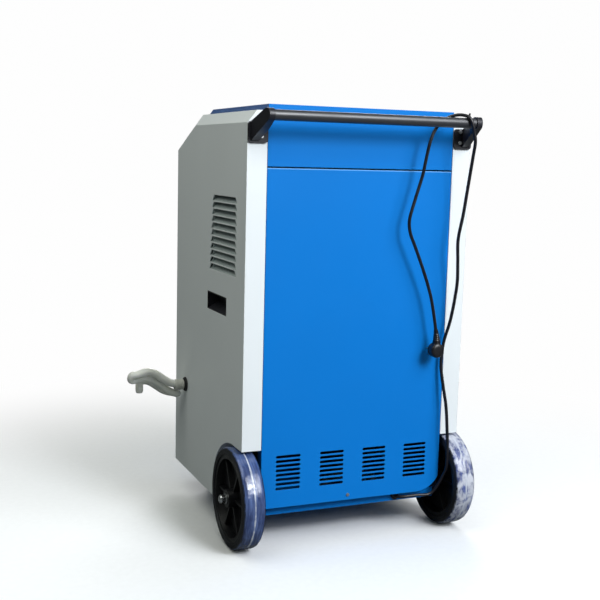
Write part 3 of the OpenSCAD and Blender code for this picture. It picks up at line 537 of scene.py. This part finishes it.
def sweep(points, radius, sides, bore=None):
    """A round section along a curve, with flat ends; its far end can have a bore of a radius and a depth.
    radius is a function of the distance along the curve and the angle round it."""
    verts, faces = [], []

    def ring(centre, u, w, size):
        """Adds a ring of points and gives their numbers."""
        first = len(verts)
        for k in range(sides):
            turn = TAU * k / sides
            verts.append(centre + (u * math.cos(turn) + w * math.sin(turn)) * size(turn))
        return list(range(first, first + sides))

    def skin(a, b):
        for k in range(sides):
            j = (k + 1) % sides
            faces.append([a[k], a[j], b[j], b[k]])

    rings = []
    side = (points[1] - points[0]).orthogonal().normalized()
    gone = 0.0
    for i, point in enumerate(points):
        after = points[min(i + 1, len(points) - 1)]
        before = points[max(i - 1, 0)]
        ahead = (after - before).normalized()
        side = (side - ahead * side.dot(ahead)).normalized()
        other = ahead.cross(side)
        rings.append(ring(point, side, other, lambda turn: radius(gone, turn)))
        gone += (after - point).length
    for a, b in zip(rings, rings[1:]):
        skin(a, b)
    faces.append(rings[0])
    if bore is None:
        faces.append(rings[-1])
        return verts, faces
    bore_r, depth = bore
    mouth = ring(points[-1], side, other, lambda turn: bore_r)
    bottom = ring(points[-1] - ahead * depth, side, other, lambda turn: bore_r)
    skin(rings[-1], mouth)
    skin(mouth, bottom)
    faces.append(bottom)
    return verts, faces


# --------------------------------------------------------------------- wheels

SIDES = {"right": 1, "left": -1}
RIM_R = 101.0
# Tyre from its seat on the rim out to the tread: height above the rim, and inset from the tyre's side
SIDEWALL = [(0.0, 11.7), (5.2, 7.5), (5.2, 2.0), (5.8, 0.6), (7.2, 0.0), (8.6, 0.0), (9.1, 0.9),
            (10.2, 0.9), (10.7, 0.0), (13.6, 0.1), (14.3, 1.3), (15.6, 1.4), (16.2, 0.4), (18.6, 0.9),
            (19.4, 2.0)]
# Crown of the tread: inset from the tyre's side, and drop below the full radius
CROWN = [(2.4, 5.4), (3.8, 3.9), (6.0, 2.7), (8.6, 1.7), (12.0, 1.2), (17.0, 0.95), (TYRE_HALF, 0.95)]
# Parting ridge of the tread: distance from the tyre's middle, and drop below the full radius
PARTING = [(2.4, 0.95), (1.2, 0.7), (0.6, 0.5)]


def wheel_middle(word):
    return Vector((SIDES[word] * WHEEL.x, WHEEL.y, WHEEL.z))


def crown_drop(inset):
    for (a, drop_a), (b, drop_b) in zip(CROWN, CROWN[1:]):
        if inset <= b:
            return drop_a + (drop_b - drop_a) * max(0.0, inset - a) / (b - a)
    return CROWN[-1][1]


def tyre(word):
    """Solid rubber tyre: stepped sidewall rings, a seat on the rim, a parting ridge round the tread."""
    half = [(RIM_R, 0.0)]
    half += [(RIM_R + height, TYRE_HALF - inset) for height, inset in SIDEWALL]
    half += [(TYRE_R - drop, TYRE_HALF - inset) for inset, drop in CROWN[:-1]]
    half += [(TYRE_R - drop, x) for x, drop in PARTING]
    profile = half + [(r, -x) for r, x in reversed(half[1:])]
    verts, faces = lathe(profile, wheel_middle(word), (1, 0, 0), steps=144, closed=True)
    made = add("rubber_tyre_" + word, verts, faces, "tyre_rubber", "wheel_%s_body" % word,
               "tyre_rubber", crease=50)
    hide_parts("tyre_" + word)


def film(word, material):
    """Wrap stretched over the tread, with creases along it; it stays inside the tyre's radius."""
    around = 300
    across = 22
    reach = TYRE_HALF - 2.6
    stand_off = 0.22
    ridge_height = 0.5
    ridge_width = 1.7
    wobble = 0.25
    verts, faces = [], []
    for i in range(around):
        turn = TAU * i / around
        for j in range(across + 1):
            t = j / across * 2 - 1
            x = t * reach
            probe = Vector((x * 0.10 + SIDES[word] * 7.0, math.cos(turn) * 9, math.sin(turn) * 9))
            pucker = min(0.5, max(-0.1, noise.fractal(probe, 0.8, 2.1, 4) * 0.6))
            ridge = math.exp(-(x / ridge_width) ** 2) * ridge_height
            r = TYRE_R - crown_drop(TYRE_HALF - abs(x)) + stand_off + pucker + ridge
            r = min(r, TYRE_R - 0.02)
            x += noise.noise(Vector((j * 0.7, turn * 30, SIDES[word]))) * wobble * t
            verts.append(wheel_middle(word) + Vector((x, math.cos(turn) * r, math.sin(turn) * r)))
    row = across + 1
    for i in range(around):
        k = (i + 1) % around
        for j in range(across):
            faces.append([i * row + j, i * row + j + 1, k * row + j + 1, k * row + j])
    made = add("tread_wrap_" + word, verts, faces, material, "wheel_%s_body" % word, "tyre_rubber",
               crease=60)
    thick = made.modifiers.new("Solidify", "SOLIDIFY")
    thick.thickness = 0.2 * MM
    thick.offset = -1


for hand, wrap in (("right", "film_thin"), ("left", "film_thick")):
    tyre(hand)
    film(hand, wrap)

# ----------------------------------------------------------------- drain hose

PORT = Vector((300, -187, 322.5))
# The hose runs out from its port, doubles back in front of that run, and comes out again in front of
# both. Each run: its place along Y, and its bends along X and Z.
HOSE_RUNS = [
    (PORT.y, [(233, PORT.z), (338, PORT.z), (366, 341), (392, 361), (414, 365), (438, 356), (455, 357)]),
    (-200, [(455, 337), (428, 343), (400, 342), (372, 324), (347, 302), (319, 293)]),
    (OUTLET.y, [(319, 290), (352, 297), (376, 315), (400, 331), (OUTLET.x, 331), (OUTLET.x, 312),
                (OUTLET.x, OUTLET.z)]),
]


def hose_tube():
    bends = [(x, y, z) for y, run in HOSE_RUNS for x, z in run]
    path = even(rounded_corners(bends, 5), 1.2)
    total = sum((b - a).length for a, b in zip(path, path[1:]))
    outside_r = 10.7
    inside_r = 8.0
    pinch = 2.4
    pinch_length = 9.0
    rib_pitch = 3.6
    rib_height = 0.22

    def radius(far, turn):
        rib = rib_height * math.sin(far * TAU / rib_pitch + turn)
        soft = noise.noise(Vector((far * 0.03, math.cos(turn), math.sin(turn)))) * 0.35
        tip = max(0.0, (far - total + pinch_length) / pinch_length) ** 2 * pinch
        return outside_r + rib + soft - tip
    verts, faces = sweep(path, radius, sides=40, bore=(inside_r, 14.0))
    made = add("drain_hose_tube", verts, faces, "hose_clear", "machine", "hose_clear", crease=60)
    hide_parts("drain_hose")


def hose_collar():
    """Ribbed collar that holds the hose in the grommet."""
    ribs = 6
    rib_pitch = 4.1
    profile = [(11.0, 6.8), (12.6, 6.8), (13.2, 7.4)]
    for k in range(ribs):
        at = 8.0 + k * rib_pitch
        profile += [(13.4, at), (15.1, at + 0.7), (15.4, at + 1.4), (15.1, at + 2.1), (13.4, at + 2.8)]
    profile += [(13.0, 33.0), (11.6, 34.0), (11.0, 34.0)]
    verts, faces = lathe(profile, PORT, (1, 0, 0), steps=56, closed=True)
    add("drain_hose_collar", verts, faces, "drip_collar", "machine", "hose_clear", crease=60)


hose_tube()
hose_collar()

# ----------------------------------------------------------------- power cord

HANDLE_R = 12.5
CORD_R = 4.25
GLAND = Vector((-135, 257, 94))
PLUG_HALF = 13.0
PLUG = place(MOUNTS, "mains_plug_pins") + Vector((0, PLUG_HALF, 0))
# How far the cord's middle stays from the handle's where it lies over it
CLEAR = HANDLE_R + CORD_R + 1.6
BEHIND = GRIP.y + CLEAR
# From the gland across to the machine's left, then up behind the rear panel to the handle
RISE = [(GLAND.x, GLAND.y + 5, GLAND.z), (-143, 274, 94), (-187, 285, 97), (-225, 290, 99),
        (-243, 296, 122), (-253, 303, 148), (-255.5, 314, 172), (-255, 316, 220), (-250, 318, 276),
        (-247, 312, 338), (-240, 304, 393), (-235, 298, 445), (-239, 300, 503), (-249, 310, 559),
        (-253, 322, 623), (-253, 329, 665), (-249, 333, 715), (-244, 338, 768), (-252, 344, 834),
        (-257, 352, 905), (-258, 366, 974), (-258, BEHIND, 1012), (-254, BEHIND, 1033)]
OVER_HANDLE = [(-247, BEHIND, GRIP.z), (-240, GRIP.y + CLEAR * 0.7, GRIP.z + CLEAR * 0.75),
               (-224, GRIP.y, GRIP.z + CLEAR + 0.8),
               (-203, GRIP.y - CLEAR * 0.75, GRIP.z + CLEAR * 0.75), (-182, GRIP.y - CLEAR - 1, GRIP.z)]
# Down in front of the handle to the plug's boot
FALL = [(-166, 334.5, 1036), (-155, 334, 1009), (-149, 331, 976), (-141, 328, 928), (-124, 326, 868),
        (-111.5, 324, 815), (-115.5, 324, 785), (-128.6, 323, 757), (-156, 322, 696), (-182, 321, 628),
        (-197, 321, 563), (-201.5, 321, 538)]


def cord_path(step):
    return even(through(RISE + OVER_HANDLE + FALL, 14), step)


def cord():
    def radius(far, turn):
        return CORD_R - 0.15 + 0.12 * noise.noise(Vector((far * 0.02, turn, 3)))
    gland = [(4.3, 10.0), (6.4, 9.6), (7.4, 8.2), (9.6, 7.4), (9.9, 6.6), (9.9, 0.2), (7.7, 0.2),
             (7.7, -2.2), (9.9, -2.2), (9.9, -7.4), (4.3, -7.8)]
    parts = [sweep(cord_path(3.0), radius, sides=24),
             lathe(gland, GLAND, (0, 1, 0), steps=48, closed=True)]
    made = add("cord_sheath", *join(*parts), "cord_pvc", "machine", "cord_pvc", crease=45)
    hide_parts("power_cord")


def plug():
    """Round two-pin plug lying flat, with grip ridges and a ribbed boot bent upwards."""
    shell = [(0.0, PLUG_HALF), (8.0, 12.9), (13.5, 12.3), (16.6, 10.6), (18.2, 7.8), (18.9, 3.4),
             (18.9, -3.0), (18.4, -5.2), (17.6, -5.8), (17.6, -7.0), (18.6, -7.6), (18.6, -10.6),
             (17.6, -12.6), (15.4, -PLUG_HALF), (15.0, -11.6), (0.0, -11.6)]
    grip_ridge = [(0.0, -6.0), (0.9, -5.2), (1.1, 0.0), (0.9, 5.2), (0.0, 6.0)]
    ridge_count = 14
    ridge_at = 18.4
    pin_gap = 19.0
    parts = [lathe(shell, PLUG, (0, 1, 0), steps=72)]

    def boot(far, turn):
        taper = 11.2 - 0.15 * far if far > 4 else 11.2
        groove = 0.7 if 12 < far < 34 and (far % 5.0) < 1.9 else 0.0
        return max(5.0, taper - groove)
    bend = [PLUG + Vector(step) for step in ((0, 0, 12), (0.6, 0, 28), (1.9, 0, 42), (3.8, 0, 54))]
    parts.append(sweep(even(through(bend, 10), 0.8), boot, sides=28))
    # The ridges leave a gap of 60 degrees at the top for the boot
    for k in range(ridge_count):
        turn = math.radians(-240 + 300 * k / (ridge_count - 1))
        at = PLUG + Vector((math.cos(turn) * ridge_at, 0.5, math.sin(turn) * ridge_at))
        parts.append(lathe(grip_ridge, at, (0, 1, 0), steps=8))
    add("plug_body", *join(*parts), "cord_pvc", "machine", "cord_pvc", crease=40)
    pin = [(0.0, -12.0), (2.4, -12.0), (2.4, -29.4), (2.0, -31.2), (1.2, -32.0), (0.0, -32.0)]
    pins = [lathe(pin, PLUG + Vector((side * pin_gap / 2, 0, 0)), (0, 1, 0), steps=28)
            for side in (-1, 1)]
    add("plug_pins", *join(*pins), "brass", "machine", "zinc_steel", crease=40)


def strap():
    """Small strap round the cord where it crosses the handle, with its trimmed tail standing up."""
    path = cord_path(1.0)
    spot = Vector((-239.5, GRIP.y + 12.4, GRIP.z + 14.2))
    i = min(range(len(path)), key=lambda k: (path[k] - spot).length)
    along = path[i + 2] - path[i - 2]
    loop = [(4.25, -3.2), (4.9, -3.0), (5.2, -2.4), (5.2, 2.4), (4.9, 3.0), (4.25, 3.2)]
    end = [(0.0, 3.6), (2.3, 3.6), (2.4, 4.4), (2.2, 8.6), (1.6, 9.4), (0.0, 9.6)]
    parts = [lathe(loop, path[i], along, steps=32, closed=True),
             lathe(end, path[i], (-0.25, 0.35, 1), steps=4)]
    add("cord_strap", *join(*parts), "rubber_black", "machine", "rubber_black", crease=40)


strap()
cord()
plug()

# ------------------------------------------------------- control deck details

# The fascia lies on the deck; its buttons travel straight into it.
PRESS = next(joint["axis"] for joint in JOINTS if joint["name"] == "power_press")
DECK_TILT = math.atan2(PRESS[1], -PRESS[2])
DECK_MIDDLE = Vector((0, -207, 1053.35))
DECK = Matrix.Translation(DECK_MIDDLE) @ Matrix.Rotation(DECK_TILT, 4, "X")
BUTTONS = ["power", "mode", "up", "down", "timer"]
# Places up the slope of the deck, and heights above it
BUTTON_ROW = -22
BUTTON_TOP = 4.38
WINDOW_ROW = 24
WINDOW_TOP = 3.16


def on_deck(points, lift):
    return [DECK @ Vector((point[0], point[1], lift)) for point in points]


def band(points, width, closed=False):
    """A flat ribbon of constant width along a 2-D line, as quads."""
    n = len(points)
    left, right = [], []
    for i, point in enumerate(points):
        a = Vector(points[(i - 1) % n] if closed or i else point)
        b = Vector(points[(i + 1) % n] if closed or i < n - 1 else point)
        along = (b - a).normalized()
        off = Vector((-along.y, along.x)) * width / 2
        left.append(Vector(point) + off)
        right.append(Vector(point) - off)
    quads = []
    for i in range(n if closed else n - 1):
        j = (i + 1) % n
        quads.append([i, j, n + j, n + i])
    return left + right, quads


def arc(x, y, r, start, end, steps):
    """Points of an arc between two angles in degrees."""
    turns = [math.radians(start + (end - start) * k / steps) for k in range(steps + 1)]
    return [(x + r * math.cos(turn), y + r * math.sin(turn)) for turn in turns]


def slab(shapes, lift, height):
    """Flat shapes given a thickness, on the sloping deck."""
    parts = []
    for flat, cells in shapes:
        n = len(flat)
        verts = on_deck(flat, lift) + on_deck(flat, lift + height)
        faces = [[i + n for i in cell] for cell in cells] + [list(reversed(cell)) for cell in cells]
        sides = [side for cell in cells for side in zip(cell, cell[1:] + cell[:1])]
        faces += [[a, b, b + n, a + n] for a, b in sides if (b, a) not in sides]
        parts.append((verts, faces))
    return join(*parts)


def symbol(button):
    """The mark on a button: a list of flat shapes."""
    x = middle(button + "_button").x
    y = BUTTON_ROW
    if button == "power":
        return [band(arc(x, y, 4.2, 120, 420, 24), 1.0), band([(x, y + 1.2), (x, y + 5.2)], 1.0)]
    if button == "up":
        return [([(x - 4.4, y - 2.6), (x + 4.4, y - 2.6), (x, y + 3.6)], [[0, 1, 2]])]
    if button == "down":
        return [([(x - 4.4, y + 2.6), (x, y - 3.6), (x + 4.4, y + 2.6)], [[0, 1, 2]])]
    if button == "timer":
        hands = [(x, y + 3.0), (x, y), (x + 2.4, y - 1.4)]
        return [band(arc(x, y, 4.6, 0, 345, 28), 0.8), band(hands, 0.8)]
    turns = [TAU * k / 24 for k in range(24)]
    drop = [(x + 3.6 * math.sin(t) * (1 - 0.5 * math.cos(t)), y - 0.2 - 4.2 * math.cos(t)) for t in turns]
    return [band(drop, 0.8, closed=True)]


def symbols():
    for button in BUTTONS:
        verts, faces = slab(symbol(button), BUTTON_TOP, 0.14)
        add("symbol_" + button, verts, faces, "ink", "button_" + button, "black_plastic", crease=0)


def digit(x, y):
    """The seven pointed segments of one digit round a middle."""
    half_w = 5.6
    half_h = 10.4
    depth = 1.9
    breadth = 0.9 * depth
    gap = 1.2
    level = [((x - half_w, y + h), (x + half_w, y + h)) for h in (half_h, 0, -half_h)]
    upright = [((x + w, y + h), (x + w, y + h + half_h)) for h in (0, -half_h) for w in (-half_w, half_w)]
    shapes = []
    for start, end in level + upright:
        a = Vector(start)
        b = Vector(end)
        along = (b - a).normalized()
        a += along * gap
        b -= along * gap
        point = along * depth / 2
        off = Vector((-along.y, along.x)) * breadth / 2
        ring = [a, a + point + off, b - point + off, b, b - point - off, a + point - off]
        shapes.append((ring, [[0, 5, 4, 3, 2, 1]]))
    return shapes


def display_segments():
    """Two unlit digits and three indicator dots behind the smoked window."""
    x = middle("display_window").x
    shapes = digit(x - 20, WINDOW_ROW) + digit(x, WINDOW_ROW)
    for rise in (9, 0, -9):
        shapes.append((arc(x + 24, WINDOW_ROW + rise, 2.0, 0, 340, 16), [list(range(17))]))
    verts, faces = slab(shapes, WINDOW_TOP, 0.12)
    add("display_segments", verts, faces, "digit", "machine", "display_glass", crease=0)


symbols()
display_segments()

# --------------------------------------------------------------- floor, light

# Places and sizes in the studio are metres.


def floor():
    """Plain pale floor. For the camera it fades into a white background away from the object."""
    mesh = bpy.data.meshes.new("floor")
    bm = bmesh.new()
    bmesh.ops.create_grid(bm, x_segments=8, y_segments=8, size=14.0)
    bm.to_mesh(mesh)
    bm.free()
    made = bpy.data.objects.new("floor", mesh)
    bpy.context.scene.collection.objects.link(made)
    s = Shader("floor_paint")
    far = s.node("VectorMath", {"operation": "LENGTH"}, i0=s.pos).outputs["Value"]
    seen = s.node("LightPath").outputs["Is Camera Ray"]
    grain = s.noise(60, 4)
    pale = s.mix(grain, lin(238, 239, 240), lin(246, 247, 248))
    mesh.materials.append(s.finish(Base_Color=s.mix(seen, lin(105, 108, 108), pale), Roughness=0.75,
                                   Specular_IOR_Level=0.2, Normal=s.bump(grain, 0.1, 0.2)))
    glow = s.node("Emission", Color=lin(254, 254, 254), Strength=1.0)
    fade = s.times(seen, s.spread(far, 0.6, 1.8))
    blend = s.node("MixShader", i0=fade, i1=s.bsdf.outputs[0], i2=glow.outputs[0])
    s.feed(s.tree.nodes["Material Output"].inputs["Surface"], blend.outputs[0])


def sky():
    """White for the camera; for the object a soft dome that is brighter overhead."""
    world = bpy.data.worlds.new("studio")
    bpy.context.scene.world = world
    world.use_nodes = True
    s = Nodes(world.node_tree, "Generated")
    seen = s.node("LightPath").outputs["Is Camera Ray"]
    dome = s.spread(s.axis("Z"), -0.15, 0.75, 0.072, 0.165)
    back = s.tree.nodes["Background"]
    s.feed(back.inputs["Color"], s.mix(seen, (0.90, 1.0, 0.93, 1), (1, 1, 1, 1)))
    s.feed(back.inputs["Strength"], s.node("Mix", i0=seen, i2=dome, i3=0.99).outputs[0])


def lamp(name, at, aim, size, power, colour=(1, 1, 1)):
    """A soft rectangular lamp turned to a point, its power in watts."""
    data = bpy.data.lights.new(name, "AREA")
    data.shape = "RECTANGLE"
    data.size = size[0]
    data.size_y = size[1]
    data.energy = power
    data.color = colour
    made = bpy.data.objects.new(name, data)
    made.location = at
    made.rotation_euler = (Vector(aim) - Vector(at)).to_track_quat("-Z", "Y").to_euler()
    bpy.context.scene.collection.objects.link(made)


floor()
sky()
lamp("key", at=(-1.0, 3.8, 3.0), aim=(0, 0.1, 0.6), size=(1.0, 1.0), power=93,
     colour=(0.95, 0.99, 1.04))
lamp("rear_soft", at=(-1.4, 3.3, 3.0), aim=(0, 0.1, 0.5), size=(2.6, 3.0), power=140,
     colour=(0.96, 0.99, 1.03))
lamp("overhead", at=(1.35, 0.5, 3.0), aim=(0.1, 0.0, 0.6), size=(2.4, 2.4), power=35,
     colour=(0.98, 1.0, 0.93))
lamp("front_fill", at=(-1.6, -3.6, 2.4), aim=(0, 0, 0.6), size=(2.4, 1.8), power=95)

# --------------------------------------------------------------------- camera


def camera(focal, yaw, pitch, roll, at):
    """focal is in picture widths, the angles in degrees, and the place in metres."""
    turn = math.radians(yaw)
    dip = math.radians(pitch)
    lean = math.radians(roll)
    ahead = Vector((math.sin(turn) * math.cos(dip), -math.cos(turn) * math.cos(dip), -math.sin(dip)))
    level = ahead.cross(Vector((0, 0, 1))).normalized()
    upright = level.cross(ahead)
    right = level * math.cos(lean) + upright * math.sin(lean)
    up = upright * math.cos(lean) - level * math.sin(lean)
    data = bpy.data.cameras.new("camera")
    data.lens = data.sensor_width * focal
    made = bpy.data.objects.new("camera", data)
    made.matrix_world = Matrix.Translation(at) @ Matrix((right, up, -ahead)).transposed().to_4x4()
    bpy.context.scene.collection.objects.link(made)
    bpy.context.scene.camera = made


camera(focal=1.6994, yaw=-23.0905, pitch=7.9249, roll=1.4853, at=(1.1126, 2.5240, 0.9612))
bpy.context.scene.view_settings.view_transform = "Standard"
